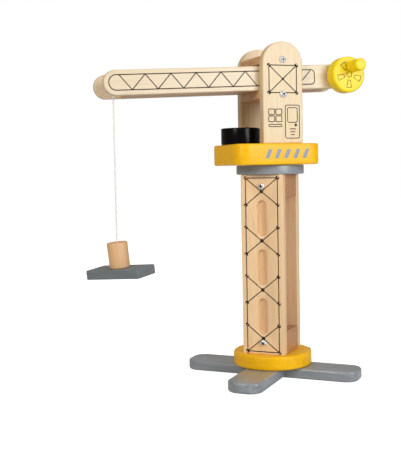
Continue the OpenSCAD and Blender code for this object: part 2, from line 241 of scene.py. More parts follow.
# %% Paint
def paint(name, colour, grain="X", roughness=0.38, coat=0.2, wander=0.06, seed=0, specular=0.4,
          turn=0):
    material, nodes, links, shader = new_material(name)
    cloud = stretched_noise(nodes, links, 14, 190, grain, 4, seed, turn)
    darker = [c * (1 - wander) for c in colour[:3]] + [1]
    lighter = [min(1, c * (1 + wander)) for c in colour[:3]] + [1]
    links.new(ramp(nodes, links, cloud, [(0.3, darker), (0.7, lighter)]),
              shader.inputs["Base Color"])
    shader.inputs["Roughness"].default_value = roughness
    shader.inputs["Specular IOR Level"].default_value = specular
    shader.inputs["Coat Weight"].default_value = coat
    shader.inputs["Coat Roughness"].default_value = 0.25
    pores = stretched_noise(nodes, links, 70, 900, grain, 2, seed + 3, turn)
    add_bump(nodes, links, shader, pores, 0.25, 0.0002)
    return material


BAR_GREY = linear(140, 146, 154)
grey_paint = paint("grey paint", BAR_GREY, coat=0.5, seed=7)
long_bar_grey = paint("grey paint on the long bar", BAR_GREY, roughness=0.3, coat=0.7,
                      wander=0.18, seed=17, turn=TOWER_TURN)
cross_bar_grey = paint("grey paint on the cross bar", BAR_GREY, roughness=0.3, coat=0.7,
                       wander=0.18, seed=27, turn=TOWER_TURN + math.pi / 2)
block_grey = paint("grey stain", linear(110, 119, 124), roughness=0.5, coat=0.05, wander=0.1,
                   seed=8)
yellow_paint = paint("yellow paint", linear(255, 189, 0), coat=0, seed=9, specular=0.3,
                     wander=0.1)
lemon_paint = paint("lemon paint", linear(252, 218, 18), coat=0, seed=10, specular=0.35)
black_paint = paint("black paint", linear(4, 4, 5), grain="Z", roughness=0.2, coat=0, seed=11,
                    specular=0.15)
ink = paint("brown black ink", linear(52, 38, 28), roughness=0.6, coat=0, wander=0.2, seed=12)
olive_ink = paint("olive ink", linear(112, 98, 26), roughness=0.6, coat=0, wander=0.1, seed=13)
stripe_ink = paint("grey stripe ink", linear(144, 154, 168), roughness=0.5, coat=0, seed=14)
print("paints are ready")


# %% [markdown]
# The screws are zinc plated and a little dull. Their crosses are darker, because little light gets
# into a cut that narrow. Cotton string has no highlight, only a soft sheen at its edges, and its
# twist shows as fine light and dark bands.

# %% Metal and string
def metal(name, colour, roughness):
    material, nodes, links, shader = new_material(name)
    cloud = stretched_noise(nodes, links, 300, 500, "X", 3)
    low = [c * 0.85 for c in colour[:3]] + [1]
    links.new(ramp(nodes, links, cloud, [(0.3, low), (0.7, colour)]), shader.inputs["Base Color"])
    shader.inputs["Metallic"].default_value = 0.85
    shader.inputs["Roughness"].default_value = roughness
    return material


def cotton(name, colour):
    material, nodes, links, shader = new_material(name)
    twist = stretched_noise(nodes, links, 900, 2500, "Z", 2)
    low = [c * 0.92 for c in colour[:3]] + [1]
    links.new(ramp(nodes, links, twist, [(0.35, low), (0.65, colour)]), shader.inputs["Base Color"])
    shader.inputs["Roughness"].default_value = 0.9
    shader.inputs["Sheen Weight"].default_value = 0.3
    add_bump(nodes, links, shader, twist, 0.2, 0.0001)
    return material


screw_steel = metal("zinc screw", linear(246, 246, 248), 0.4)
recess_dark = metal("screw recess", linear(38, 36, 34), 0.8)
magnet_steel = metal("magnet", linear(190, 190, 192), 0.25)
string_cotton = cotton("white cotton", linear(234, 234, 232))
print("metals and cotton are ready")

# %% [markdown]
# ## Boards with rounded edges
# Nearly every piece of this toy is a flat board or a disc whose edges a machine has rounded.
# So one function makes them all: it takes an outline and a list of steps, each a depth and how
# far the outline shrinks there, and skins the rings between them. Bevelling a box would give
# the same edge, but it can't follow a jib board's half-round end as evenly.


# %% Outlines
def arc(centre, radius, start, end, steps):
    angles = [math.radians(start + (end - start) * k / steps) for k in range(steps + 1)]
    return [(centre[0] + radius * math.cos(a), centre[1] + radius * math.sin(a)) for a in angles]


def disc(radius, steps=96):
    return arc((0, 0), radius, 0, 360 - 360 / steps, steps - 1)


def rounded_rectangle(length, width, radius, steps=10):
    x, y = length / 2 - radius, width / 2 - radius
    corners = [((x, y), 0), ((-x, y), 90), ((-x, -y), 180), ((x, -y), 270)]
    return [p for centre, start in corners for p in arc(centre, radius, start, start + 90, steps)]


def stadium(low, high, radius, steps=32):
    """A long outline with half-round ends, whose ends are centred at x = low and x = high."""
    return arc((high, 0), radius, -90, 90, steps) + arc((low, 0), radius, 90, 270, steps)


def round_topped(width, low, high, corner=1.5 * MM, steps=48):
    half = width / 2
    return (arc((-half + corner, low + corner), corner, 180, 270, 4)
            + arc((half - corner, low + corner), corner, 270, 360, 4)
            + arc((0, high - half), half, 0, 180, steps))


def turned(outline, angle, along=0):
    """The outline pushed along x and then turned about the origin."""
    c, s = math.cos(angle), math.sin(angle)
    return [((x + along) * c - y * s, (x + along) * s + y * c) for x, y in outline]


def shrunk(outline, inset):
    """The outline moved inwards by inset, each point along the bisector of its two sides."""
    points = [Vector(p) for p in outline]
    moved = []
    for before, here, after in zip(points[-1:] + points[:-1], points, points[1:] + points[:1]):
        one = (here - before).normalized()
        two = (after - here).normalized()
        normal = Vector((one.y + two.y, -one.x - two.x)).normalized()
        moved.append(here - normal * inset / max(0.3, normal.dot(Vector((one.y, -one.x)))))
    return moved


print("a disc has", len(disc(1)), "points")


# %% [markdown]
# The rings of a rounded edge follow a quarter circle, and a hair of flat rim inside it keeps the
# big faces shading flat. Grooves and recesses are cut afterwards with a Boolean, as a router cuts
# a board that has already been sanded round.

# %% Skin rings into a solid
HAIR = 0.05 * MM


def solid_from_steps(name, outline, steps):
    """steps are (depth, inset) pairs from the back face to the front face."""
    mesh = bmesh.new()
    rings = [[mesh.verts.new((p.x, p.y, depth)) for p in shrunk(outline, inset)]
             for depth, inset in steps]
    for low, high in zip(rings, rings[1:]):
        for k in range(len(low)):
            after = (k + 1) % len(low)
            mesh.faces.new((low[k], low[after], high[after], high[k]))
    mesh.faces.new(list(reversed(rings[0])))
    mesh.faces.new(rings[-1])
    data = bpy.data.meshes.new(name)
    bmesh.ops.recalc_face_normals(mesh, faces=mesh.faces)
    mesh.to_mesh(data)
    mesh.free()
    return data


def rounded_steps(thickness, rounding, pieces=5):
    """Quarter rounds on both faces, with a hair of flat rim that keeps the faces shading flat."""
    quarter = [math.radians(90 * k / pieces) for k in range(pieces + 1)]
    back = [(rounding * (1 - math.sin(a)), rounding * (1 - math.cos(a))) for a in reversed(quarter)]
    front = [(thickness - depth, inset) for depth, inset in reversed(back)]
    return [(0, rounding + HAIR)] + back + front + [(thickness, rounding + HAIR)]


def smooth(data, angle=35):
    for polygon in data.polygons:
        polygon.use_smooth = True
    data.set_sharp_from_angle(angle=math.radians(angle))


def put(name, data, place, material, body, slot, *nodes):
    """Sets a mesh in place as a piece of the crane that stands for the given model nodes."""
    smooth(data)
    piece = bpy.data.objects.new(name, data)
    bpy.context.scene.collection.objects.link(piece)
    piece.matrix_world = place
    if not data.materials:
        data.materials.append(material)
    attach(piece, body)
    if nodes:
        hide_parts(*nodes)
    return piece


def board(name, outline, thickness, rounding, place, material, body, slot, *nodes):
    data = solid_from_steps(name, outline, rounded_steps(thickness, rounding))
    return put(name, data, place, material, body, slot, *nodes)


def cut(piece, cutters):
    """Takes the cutter meshes, placed in the piece's own space, out of a finished piece."""
    for k, data in enumerate(cutters):
        tool = bpy.data.objects.new("cutter", data)
        bpy.context.scene.collection.objects.link(tool)
        tool.matrix_world = piece.matrix_world
        modifier = piece.modifiers.new("cut", "BOOLEAN")
        modifier.object = tool
        modifier.solver = "EXACT"
        bpy.context.view_layer.update()
        shaped = bpy.data.meshes.new_from_object(
            piece.evaluated_get(bpy.context.evaluated_depsgraph_get()))
        piece.modifiers.clear()
        piece.data = shaped
        bpy.data.objects.remove(tool)
    smooth(piece.data)
    return piece


print("board helpers are ready")

# %% [markdown]
# ## Floor and light
# A white floor, a white wall and four soft lamps. The biggest stands in front on the right, so
# the fronts are bright and the left sides darker. A warmer one stands on the left, one hangs
# above, and one behind lights the tops without showing as a highlight. Wall and floor are pure
# white to the eye but light the crane more weakly, or its colours would wash out.


# %% Floor and light
def soft_lamp(name, place, aim, size, power, colour=(1, 1, 1), mirrored=True):
    data = bpy.data.lights.new(name, "AREA")
    data.shape = "DISK"
    data.size = size
    data.energy = power
    data.color = colour
    lamp = bpy.data.objects.new(name, data)
    lamp.location = place
    lamp.visible_glossy = mirrored
    lamp.rotation_euler = (Vector(aim) - Vector(place)).to_track_quat("-Z", "Y").to_euler()
    bpy.context.scene.collection.objects.link(lamp)
    return lamp


floor_data = solid_from_steps("floor", rounded_rectangle(9, 9, 0.1), [(-0.01, 0), (0, 0)])
floor = bpy.data.objects.new("floor", floor_data)
bpy.context.scene.collection.objects.link(floor)
floor_white, floor_nodes, floor_links, floor_shader = new_material("white floor")
floor_shader.inputs["Base Color"].default_value = (0.5, 0.5, 0.5, 1)
floor_shader.inputs["Roughness"].default_value = 0.9
floor_shader.inputs["Specular IOR Level"].default_value = 0
floor_shader.inputs["Emission Color"].default_value = (1, 1, 1, 1)
floor_seen = floor_nodes.new("ShaderNodeLightPath")
floor_glow = floor_nodes.new("ShaderNodeMapRange")
floor_glow.inputs["To Min"].default_value = 0.1
floor_glow.inputs["To Max"].default_value = 0.9
floor_links.new(floor_seen.outputs["Is Camera Ray"], floor_glow.inputs["Value"])
floor_links.new(floor_glow.outputs["Result"], floor_shader.inputs["Emission Strength"])
floor.data.materials.append(floor_white)

crane_middle = (cad_box[0] + cad_box[1]) / 2
soft_lamp("key", (0.62, -1.4, 0.62), crane_middle, 0.9, 15, (0.95, 0.98, 1))
above_middle = crane_middle + Vector((0, 0, 0.1))
soft_lamp("fill", (-1.1, -0.75, 0.8), above_middle, 0.5, 8, (1, 0.94, 0.82))
soft_lamp("top", (0.1, 0.2, 1.8), crane_middle, 1.4, 7)
soft_lamp("back", (0.5, 1.6, 0.9), crane_middle, 1.0, 7, mirrored=False)
WALL_BRIGHTNESS, WALL_LIGHT = 1.0, 0.26
world = bpy.data.worlds.new("studio")
world.use_nodes = True
wall_nodes, wall_links = world.node_tree.nodes, world.node_tree.links
seen = wall_nodes.new("ShaderNodeLightPath")
strength = wall_nodes.new("ShaderNodeMapRange")
strength.inputs["To Min"].default_value = WALL_LIGHT
strength.inputs["To Max"].default_value = WALL_BRIGHTNESS
wall_links.new(seen.outputs["Is Camera Ray"], strength.inputs["Value"])
wall_links.new(strength.outputs["Result"], wall_nodes["Background"].inputs["Strength"])
tint = wall_nodes.new("ShaderNodeMix")
tint.data_type = "RGBA"
tint.inputs["A"].default_value = (1, 0.95, 0.86, 1)
tint.inputs["B"].default_value = (1, 1, 1, 1)
wall_links.new(seen.outputs["Is Camera Ray"], tint.inputs["Factor"])
wall_links.new(tint.outputs["Result"], wall_nodes["Background"].inputs["Color"])
bpy.context.scene.world = world
bpy.context.scene.view_settings.view_transform = "Standard"

# %% [markdown]
# ## Cross base
# Two bars cross under the tower, halved into each other, with a round yellow plate on top. The
# bars are painted grey and their edges are well rounded. The lower bar is notched where the
# upper one lies in it, so no two undersides fight over the same place.

# %% Cross base
BAR_LENGTH, BAR_WIDTH, BAR_CORNER = 238 * MM, 46 * MM, 17 * MM
SCREW_SPACING, SCREW_RECESS, SCREW_RECESS_DEPTH = 26 * MM, 4.5 * MM, 3.5 * MM
BAR_ROUNDING = 3 * MM
bar_thickness = top("foot_bar_long")
bar_outline = rounded_rectangle(BAR_LENGTH, BAR_WIDTH, BAR_CORNER, 16)
crossing_outline = rounded_rectangle(BAR_WIDTH, 2 * BAR_WIDTH, 1 * MM, 2)
crossing_turn = TOWER_TURN + math.radians(90)
long_bar = board("foot_bar_long_painted", turned(bar_outline, TOWER_TURN), bar_thickness,
                 BAR_ROUNDING, Matrix.Identity(4), long_bar_grey,
                 "base_and_tower", "grey_paint", "foot_bar_long")
upper_notch = solid_from_steps("notch", turned(crossing_outline, TOWER_TURN),
                               [(bar_thickness / 2, 0), (2 * bar_thickness, 0)])
recess_circle = disc(SCREW_RECESS, 32)
recesses = []
for side in (-1, 1):
    circle = turned(recess_circle, TOWER_TURN, side * SCREW_SPACING / 2)
    recesses.append(solid_from_steps("recess", circle,
                                     [(-bar_thickness, 0), (SCREW_RECESS_DEPTH, 0)]))
cut(long_bar, [upper_notch] + recesses)
cross_bar = board("foot_bar_cross_painted", turned(bar_outline, crossing_turn), bar_thickness,
                  BAR_ROUNDING, Matrix.Identity(4), cross_bar_grey,
                  "base_and_tower", "grey_paint", "foot_bar_cross")
lower_notch = solid_from_steps("notch", turned(crossing_outline, crossing_turn),
                               [(-bar_thickness, 0), (bar_thickness / 2, 0)])
cut(cross_bar, [lower_notch])
plate_low, plate_high = foot("base_plate"), top("base_plate")
PLATE_RADIUS = 52 * MM
board("base_plate_painted", disc(PLATE_RADIUS), plate_high - plate_low, 3 * MM,
      in_tower @ Matrix.Translation((0, 0, plate_low)), yellow_paint,
      "base_and_tower", "yellow_paint", "base_plate")
print("bars are", round(bar_thickness * 1000, 1), "mm thick")

# %% [markdown]
# ## Tower
# A front and a rear panel are screwed to a block at the top and one at the bottom. The front
# panel has three shallow rounded grooves. Each groove is cut with a slightly flared tool, so
# that its rim is eased as a router with a worn bit leaves it. The cut faces get a darker wood
# without lacquer, which is painted shade for the inside of the grooves, so the tool brings its own
# material to the faces it makes.

# %% Tower panels
TOWER_WIDTH, TOWER_DEPTH, PANEL = 57 * MM, 71 * MM, 12 * MM
GROOVE_WIDTH, GROOVE_HEIGHT, GROOVE_DEPTH, GROOVE_PITCH = 12.5 * MM, 46 * MM, 4 * MM, 64 * MM
tower_low, tower_high = foot("tower_front_panel"), top("tower_front_panel")
tower_height = tower_high - tower_low
groove_middle = tower_height / 2 - 3 * MM


def panel_place(front):
    """Local x across the panel, y up from its foot, z out towards the tower's front."""
    return in_tower @ Matrix.Translation((0, front, tower_low)) @ facing_front


panel_outline = [(x, y + tower_height / 2)
                 for x, y in rounded_rectangle(TOWER_WIDTH, tower_height, 1.2 * MM, 3)]
front_panel = board("tower_front_panel_wood", panel_outline, PANEL, 1 * MM,
                    panel_place(-TOWER_DEPTH / 2 + PANEL), warm_along_y,
                    "base_and_tower", "pale_wood", "tower_front_panel")
board("tower_rear_panel_wood", panel_outline, PANEL, 1 * MM,
      panel_place(TOWER_DEPTH / 2), warm_along_y,
      "base_and_tower", "pale_wood", "tower_rear_panel")


def groove_tool(height):
    reach = (GROOVE_HEIGHT - GROOVE_WIDTH) / 2
    outline = [(y, x + height) for x, y in stadium(-reach, reach, GROOVE_WIDTH / 2, 20)]
    outline.reverse()
    steps = [(PANEL - GROOVE_DEPTH, 1.2 * MM), (PANEL - GROOVE_DEPTH + 0.4 * MM, 0.4 * MM),
             (PANEL - GROOVE_DEPTH + 1.2 * MM, 0), (PANEL - 0.6 * MM, 0),
             (PANEL - 0.2 * MM, -0.2 * MM), (PANEL + 0.05 * MM, -0.7 * MM),
             (PANEL + 1 * MM, -0.7 * MM)]
    data = solid_from_steps("groove", outline, steps)
    data.materials.append(warm_along_y)
    # every face the tool cuts takes the darker groove wood, painted shade inside the grooves
    data.materials.append(groove_painted_shade_wood)
    for polygon in data.polygons:
        polygon.material_index = 1
    return data


# the panel carries the darker wood for the painted shade in its grooves
front_panel.data.materials.append(groove_painted_shade_wood)
cut(front_panel, [groove_tool(groove_middle + k * GROOVE_PITCH) for k in (-1, 0, 1)])
print("groove middles above the plate:",
      [round((groove_middle + k * GROOVE_PITCH) * 1000, 1) for k in (-1, 0, 1)])

# %% [markdown]
# The two blocks between the panels are a redder wood, with their grain across the tower, so their
# ends show at the sides. The turntable is a painted disc glued to the top block.

# %% Tower blocks and turntable
BLOCK_HEIGHT = 30 * MM
block_outline = rounded_rectangle(TOWER_WIDTH, TOWER_DEPTH - 2 * PANEL, 0.8 * MM, 3)
block_feet = {"tower_bottom_block": tower_low, "tower_top_block": tower_high - BLOCK_HEIGHT}
for name, low in block_feet.items():
    board(name + "_wood", block_outline, BLOCK_HEIGHT, 0.5 * MM,
          in_tower @ Matrix.Translation((0, 0, low)), red_along_x,
          "base_and_tower", "red_wood", name)
TURNTABLE_RADIUS = 44.5 * MM
turntable_low, turntable_high = foot("turntable_disc"), top("turntable_disc")
board("turntable_disc_painted", disc(TURNTABLE_RADIUS), turntable_high - turntable_low, 1.5 * MM,
      in_tower @ Matrix.Translation((0, 0, turntable_low)), grey_paint,
      "base_and_tower", "grey_paint", "turntable_disc")
print("turntable is", round((turntable_high - turntable_low) * 1000, 1), "mm thick")

# %% [markdown]
# ## Platform, drum and uprights
# The platform turns on the grey disc. A black drum stands on its jib end, and two round-topped
# uprights stand in slots and hold the jib between two reddish blocks.

# %% Platform and drum
platform_low, platform_high = foot("platform"), top("platform")
platform_middle = middle("platform")
platform_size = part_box("platform")[1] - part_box("platform")[0]
platform_outline = rounded_rectangle(platform_size.x, platform_size.y, 17 * MM, 16)
board("platform_painted", platform_outline, platform_size.z, 2.5 * MM,
      Matrix.Translation((platform_middle.x, platform_middle.y, platform_low)), yellow_paint,
      "upper_works", "yellow_paint", "platform")
drum_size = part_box("platform_drum")[1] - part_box("platform_drum")[0]
drum_middle = middle("platform_drum")
board("platform_drum_painted", disc(drum_size.x / 2), drum_size.z, 1.5 * MM,
      Matrix.Translation((drum_middle.x, drum_middle.y, platform_high)), black_paint,
      "upper_works", "black_paint", "platform_drum")
print("platform:", [round(v * 1000, 1) for v in platform_size])

# %% [markdown]
# An upright is a board with a half-round top. The blocks above and below the jib fill the space
# between the uprights, and the screws through the uprights go into them.

# %% Uprights and clamp blocks
upright_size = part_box("upright_front")[1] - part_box("upright_front")[0]
crane_top = top("upright_front")
upright_front_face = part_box("upright_front")[0].y
upright_outline = round_topped(upright_size.x, platform_high, crane_top)
for name in ("upright_front", "upright_rear"):
    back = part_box(name)[1].y
    board(name + "_wood", upright_outline, upright_size.y, 1.2 * MM,
          Matrix.Translation((0, back, 0)) @ facing_front, pale_along_y,
          "upper_works", "pale_wood", name)
for name in ("block_above_jib", "block_below_jib"):
    low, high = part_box(name)
    outline = rounded_rectangle(high.x - low.x, high.y - low.y, 0.8 * MM, 3)
    board(name + "_wood", outline, high.z - low.z, 0.6 * MM,
          Matrix.Translation((0, 0, low.z)), tan_along_x, "upper_works", "tan_wood", name)
print("uprights reach", round(crane_top * 1000, 1), "mm")

# %% [markdown]
# ## Jib
# Two boards with half-round ends run side by side, with a floor strip glued between them that
# stops short of the tip. There the string drops over a dowel.

# %% Jib boards
JIB_REACH, JIB_HEIGHT, JIB_BOARD = 229 * MM, 31 * MM, 10 * MM
WINCH_DISTANCE = 91 * MM
jib_half_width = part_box("jib_rear_board")[1].y
channel = 2 * (jib_half_width - JIB_BOARD)
jib_outline = stadium(-(JIB_REACH - JIB_HEIGHT / 2), WINCH_DISTANCE, JIB_HEIGHT / 2)
jib_backs = {"jib_front_board": -jib_half_width + JIB_BOARD, "jib_rear_board": jib_half_width}
for name, back in jib_backs.items():
    board(name + "_wood", jib_outline, JIB_BOARD, 1.5 * MM,
          in_jib @ Matrix.Translation((0, back, 0)) @ facing_front, jib_along_x,
          "upper_works", "pale_wood", name)
FLOOR_THICKNESS, FLOOR_CORNER = 8 * MM, 8 * MM
TIP_GAP, WINCH_ROOM = 31 * MM, 16 * MM
floor_tip, floor_tail = -(JIB_REACH - TIP_GAP), WINCH_DISTANCE - WINCH_ROOM
corner_x, corner_y = floor_tip + FLOOR_CORNER, channel / 2 - FLOOR_CORNER
floor_outline = (arc((corner_x, corner_y), FLOOR_CORNER, 90, 180, 8)
                 + arc((corner_x, -corner_y), FLOOR_CORNER, 180, 270, 8)
                 + [(floor_tail, -channel / 2), (floor_tail, channel / 2)])
board("jib_floor_wood", floor_outline, FLOOR_THICKNESS, 0.5 * MM,
      in_jib @ Matrix.Translation((0, 0, -JIB_HEIGHT / 2)), tan_along_x,
      "upper_works", "tan_wood", "jib_floor")
print("the channel is", round(channel * 1000, 1), "mm wide")

# %% [markdown]
# ## Winch
# A fat yellow wheel sits on the end of a dowel that runs through both boards, with a round peg
# to crank it by. On the far side a small collar keeps the dowel in.

# %% Winch wheel and peg
WHEEL_RADIUS, WHEEL_THICKNESS = 23.2 * MM, 19.5 * MM
PEG_RADIUS, PEG_LENGTH, PEG_OFFSET = 8 * MM, 24 * MM, 11.2 * MM
PEG_ANGLE = math.radians(24)
SIDE_GAP = 0.4 * MM
wheel_back = -(jib_half_width + SIDE_GAP)
wheel_place = in_jib @ Matrix.Translation((WINCH_DISTANCE, wheel_back, 0)) @ facing_front
board("winch_wheel_painted", disc(WHEEL_RADIUS), WHEEL_THICKNESS, 3 * MM, wheel_place,
      lemon_paint, "winch", "lemon_paint", "winch_wheel")
peg_across, peg_up = PEG_OFFSET * math.sin(PEG_ANGLE), PEG_OFFSET * math.cos(PEG_ANGLE)
peg_place = wheel_place @ Matrix.Translation((peg_across, peg_up, WHEEL_THICKNESS))
# the foot of the peg is plain and sits in the wheel; only its outer end is rounded
PEG_SUNK, PEG_ROUNDING = 0.5 * MM, 3 * MM
peg_steps = [(-PEG_SUNK, HAIR), (-PEG_SUNK, 0)] + rounded_steps(PEG_LENGTH, PEG_ROUNDING)[-7:]
put("winch_peg_painted", solid_from_steps("winch_peg", disc(PEG_RADIUS, 64), peg_steps), peg_place,
    lemon_paint, "winch", "lemon_paint", "winch_peg")
COLLAR_RADIUS, COLLAR_THICKNESS = 10 * MM, 6 * MM
collar_back = jib_half_width + SIDE_GAP + COLLAR_THICKNESS
collar_place = in_jib @ Matrix.Translation((WINCH_DISTANCE, collar_back, 0)) @ facing_front
board("winch_collar_wood", disc(COLLAR_RADIUS, 64), COLLAR_THICKNESS, 1 * MM, collar_place,
      tan_along_x, "winch", "tan_wood", "winch_collar")
print("the peg stands at", round(peg_across * 1000, 1), round(peg_up * 1000, 1))

# %% [markdown]
# ## Printed lines
# The fronts carry thin printed lines: a lattice on the tower and the jib, a square with windows
# and a door on the front upright. A print has no thickness to speak of, but a line drawn as a
# texture would need a picture. So each line is a ribbon of ink a few hundredths of a
# millimetre proud of the wood.

# %% Ribbons and dots of ink
INK_RISE = 0.05 * MM
INK_SUNK = 0.15 * MM


def ribbon(mesh, points, width, closed=False):
    """Adds a flat ribbon along points in the local xy plane, with mitred corners."""
    points = [Vector(p) for p in points]
    count = len(points)
    sides = []
    for k, here in enumerate(points):
        before = points[k - 1] if closed or k else None
        after = points[(k + 1) % count] if closed or k < count - 1 else None
        one = (here - before).normalized() if before else (after - here).normalized()
        two = (after - here).normalized() if after else one
        across = Vector((-one.y - two.y, one.x + two.x)).normalized()
        across *= width / 2 / max(0.4, across.dot(Vector((-one.y, one.x))))
        sides.append((here + across, here - across))
    rows = [[mesh.verts.new((p.x, p.y, z)) for p, z in
             ((a, INK_RISE), (b, INK_RISE), (b, -INK_SUNK), (a, -INK_SUNK))] for a, b in sides]
    for k in range(count if closed else count - 1):
        row, following = rows[k], rows[(k + 1) % count]
        for j in range(4):
            mesh.faces.new((row[j], row[(j + 1) % 4], following[(j + 1) % 4], following[j]))
    if not closed:
        mesh.faces.new(rows[0])
        mesh.faces.new(list(reversed(rows[-1])))


def spot(mesh, outline):
    low = [mesh.verts.new((x, y, -INK_SUNK)) for x, y in outline]
    high = [mesh.verts.new((x, y, INK_RISE)) for x, y in outline]
    for k in range(len(low)):
        after = (k + 1) % len(low)
        mesh.faces.new((low[k], low[after], high[after], high[k]))
    mesh.faces.new(list(reversed(low)))
    mesh.faces.new(high)


def screw_mark(mesh, centre, radius, slot_width=1.3 * MM, steps=10):
    """A printed screw head: two half discs with a slanting slot left bare between them."""
    for side in (0, 180):
        tilt = math.radians(45)
        half = math.degrees(math.asin(slot_width / 2 / radius))
        flat = arc((0, 0), radius, side + half, side + 180 - half, steps)
        spot(mesh, [(centre[0] + x * math.cos(tilt) - y * math.sin(tilt),
                     centre[1] + x * math.sin(tilt) + y * math.cos(tilt)) for x, y in flat])


def printed(name, mesh, place, material, body):
    data = bpy.data.meshes.new(name)
    bmesh.ops.recalc_face_normals(mesh, faces=mesh.faces)
    mesh.to_mesh(data)
    mesh.free()
    piece = bpy.data.objects.new(name, data)
    bpy.context.scene.collection.objects.link(piece)
    piece.matrix_world = place
    data.materials.append(material)
    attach(piece, body)
    return piece


print("ink helpers are ready")

# %% [markdown]
# Four crossed bays stand between plain bays that hold the grooves. A small screw head with a
# slanting slot is printed on every corner and every crossing. All of it is one mesh of ink.

# %% Lattice on the tower
LINE = 1.3 * MM
MARK = 2.6 * MM
NODE_ACROSS = 21.8 * MM
FIRST_NODE, CROSS_BAY = 3.6 * MM, 35 * MM
lattice = bmesh.new()
cross_bays = [FIRST_NODE + k * GROOVE_PITCH for k in range(4)]
for side in (-1, 1):
    ribbon(lattice, [(side * NODE_ACROSS, cross_bays[0]),
                     (side * NODE_ACROSS, cross_bays[-1] + CROSS_BAY)], LINE)
for height in (cross_bays[0], cross_bays[-1] + CROSS_BAY):
    ribbon(lattice, [(-NODE_ACROSS, height), (NODE_ACROSS, height)], LINE)
for low in cross_bays:
    high = low + CROSS_BAY
    for side in (-1, 1):
        ribbon(lattice, [(-side * NODE_ACROSS, low), (side * NODE_ACROSS, high)], LINE)
        for height in (low, high):
            screw_mark(lattice, (side * NODE_ACROSS, height), MARK)
    screw_mark(lattice, (0, (low + high) / 2), MARK)
tower_face = in_tower @ Matrix.Translation((0, -TOWER_DEPTH / 2, tower_low)) @ facing_front
printed("tower_lattice_print", lattice, tower_face, ink, "base_and_tower")
print("lattice bays start at", [round(v * 1000, 1) for v in cross_bays])

# %% [markdown]
# A long outline with one round end frames a zigzag. The print runs on behind the upright and
# ends with one slanting stroke and two rounded corners on its far side.

# %% Lattice on the jib
PRINT_MARGIN = 6.2 * MM
print_half = JIB_HEIGHT / 2 - PRINT_MARGIN
ZIGZAG_PITCH, ZIGZAG_START, ZIGZAG_FALL = 32.8 * MM, -209.8 * MM, 15.6 * MM
jib_lattice = bmesh.new()
tip_centre = -(JIB_REACH - JIB_HEIGHT / 2)
PRINT_TAIL, TAIL_CORNER = 50.8 * MM, 5 * MM
tail_x, tail_y = PRINT_TAIL - TAIL_CORNER, print_half - TAIL_CORNER
outline_print = (arc((tip_centre, 0), print_half, 90, 270, 24)
                 + arc((tail_x, -tail_y), TAIL_CORNER, 270, 360, 6)
                 + arc((tail_x, tail_y), TAIL_CORNER, 0, 90, 6))
ribbon(jib_lattice, outline_print, LINE, closed=True)
zigzag = []
for k in range(6):
    zigzag.append((ZIGZAG_START + k * ZIGZAG_PITCH, print_half))
    zigzag.append((ZIGZAG_START + k * ZIGZAG_PITCH + ZIGZAG_FALL, -print_half))
ribbon(jib_lattice, zigzag, LINE)
STROKE_FOOT, STROKE_TOP = 28 * MM, 46 * MM
ribbon(jib_lattice, [(STROKE_FOOT, -print_half), (STROKE_TOP, print_half)], LINE)
jib_face = in_jib @ Matrix.Translation((0, -jib_half_width, 0)) @ facing_front
printed("jib_lattice_print", jib_lattice, jib_face, ink, "upper_works")
print("zigzag has", len(zigzag), "points")

# %% [markdown]
# A crossed square is printed round the jib, over the two screws. Under it are a window of four
# panes with a sill, and a door with a window, a knob and three short lines.

# %% Square, windows and door on the upright
FINE_LINE = 1.1 * MM
upright_print = bmesh.new()
SQUARE_HALF, SQUARE_LOW, SQUARE_HIGH = 19 * MM, 370.5 * MM, 405 * MM
corners = [(-SQUARE_HALF, SQUARE_LOW), (SQUARE_HALF, SQUARE_LOW),
           (SQUARE_HALF, SQUARE_HIGH), (-SQUARE_HALF, SQUARE_HIGH)]
ribbon(upright_print, corners, LINE, closed=True)
ribbon(upright_print, [corners[0], corners[2]], LINE)
ribbon(upright_print, [corners[1], corners[3]], LINE)
for corner in corners:
    screw_mark(upright_print, corner, MARK)
screw_mark(upright_print, (0, (SQUARE_LOW + SQUARE_HIGH) / 2), 1.6 * MM, 0.8 * MM)


def frame_line(mesh, left, right, low, high, corner, width=FINE_LINE):
    outline = rounded_rectangle(right - left, high - low, corner, 5)
    centre = ((left + right) / 2, (low + high) / 2)
    ribbon(mesh, [(x + centre[0], y + centre[1]) for x, y in outline], width, closed=True)


PANE_WIDTH, PANE_HEIGHT = 8.2 * MM, 7.2 * MM
for left in (-20 * MM, -10.1 * MM):
    for low in (342.6 * MM, 333.8 * MM):
        frame_line(upright_print, left, left + PANE_WIDTH, low, low + PANE_HEIGHT, 0.9 * MM)
sill = (-20 * MM, -2 * MM, 327.6 * MM, 330.4 * MM, 1.3 * MM)
door = (3 * MM, 22.6 * MM, 312.8 * MM, 354.8 * MM, 2.6 * MM)
door_window = (5.9 * MM, 19.6 * MM, 333 * MM, 351.6 * MM, 2.2 * MM)
for left, right, low, high, corner in (sill, door, door_window):
    frame_line(upright_print, left, right, low, high, corner)
KNOB_X, KNOB_Z, KNOB_RADIUS = 17.4 * MM, 329.6 * MM, 1.9 * MM
spot(upright_print, [(x + KNOB_X, y + KNOB_Z) for x, y in disc(KNOB_RADIUS, 24)])
LETTERBOX_X = 13.2 * MM
for length, height in ((8.6 * MM, 324.6 * MM), (7 * MM, 321 * MM), (5.6 * MM, 317.4 * MM)):
    ribbon(upright_print, [(LETTERBOX_X - length / 2, height), (LETTERBOX_X + length / 2, height)],
           FINE_LINE)
upright_face = Matrix.Translation((0, upright_front_face, 0)) @ facing_front
printed("upright_print", upright_print, upright_face, ink, "upper_works")
print("upright print drawn")

# %% [markdown]
# Five slanting grey stripes mark the platform's front. Each is one flat patch of ink with four
# corners, so a single loop draws them all.

